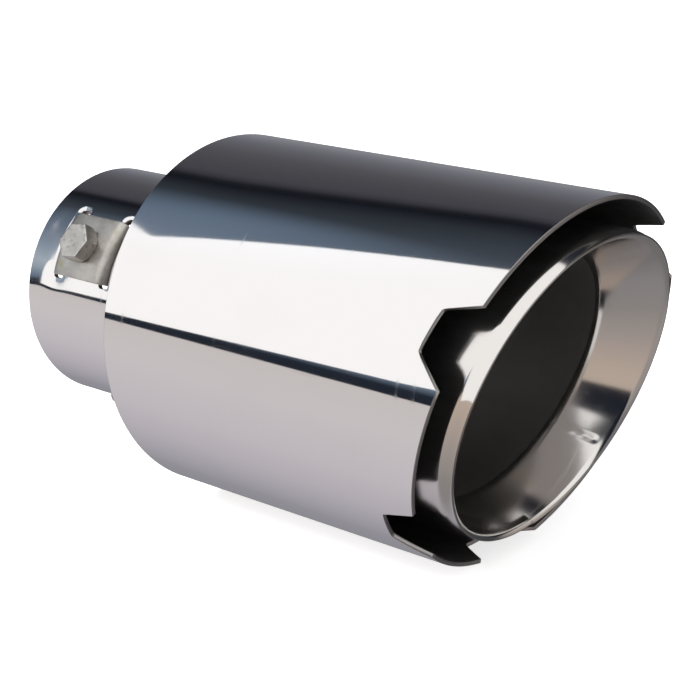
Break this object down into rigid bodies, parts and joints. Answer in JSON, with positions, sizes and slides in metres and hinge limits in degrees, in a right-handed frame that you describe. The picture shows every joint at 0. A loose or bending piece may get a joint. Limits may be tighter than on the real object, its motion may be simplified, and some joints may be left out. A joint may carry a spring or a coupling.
{
  "type": "exhaust tip",
  "caption": "Double-walled round exhaust tip with a slanted, notched outer shell, a flared liner whose sheet is turned back at the rim, and an inlet collar with strap-and-bolt clamps.",
  "frame": {"origin": "centre of the inlet collar's mouth, on the tip's axis", "axes": "+X along the tip's axis from the inlet to the outlet, +Z towards the long side of the slanted outlet"},
  "size_m": [0.1855, 0.1016, 0.1016],
  "materials": {
    "shell_polish": "mirror polished stainless steel",
    "collar_polish": "mirror polished stainless steel with a pressed, slightly rippled zone round the slots",
    "liner_polish": "polished stainless steel, less even than the shell",
    "ring_steel": "satin stainless sheet",
    "weld_bead": "rippled weld bead, lightly brushed",
    "strap_steel": "matte grey rolled steel",
    "bolt_steel": "dull plated steel with a grainy head"
  },
  "bodies": {
    "root": {"outer_shell": "shell_polish", "rear_end_ring": "ring_steel", "inlet_collar": "collar_polish", "liner": "liner_polish", "shell_weld": "weld_bead", "collar_weld": "weld_bead", "liner_weld": "weld_bead", "clamp_strap_1": "strap_steel", "clamp_strap_2": "strap_steel", "clamp_strap_3": "strap_steel", "clamp_bolt_1": "bolt_steel", "clamp_bolt_2": "bolt_steel", "clamp_bolt_3": "bolt_steel"}
  },
  "joints": []
}
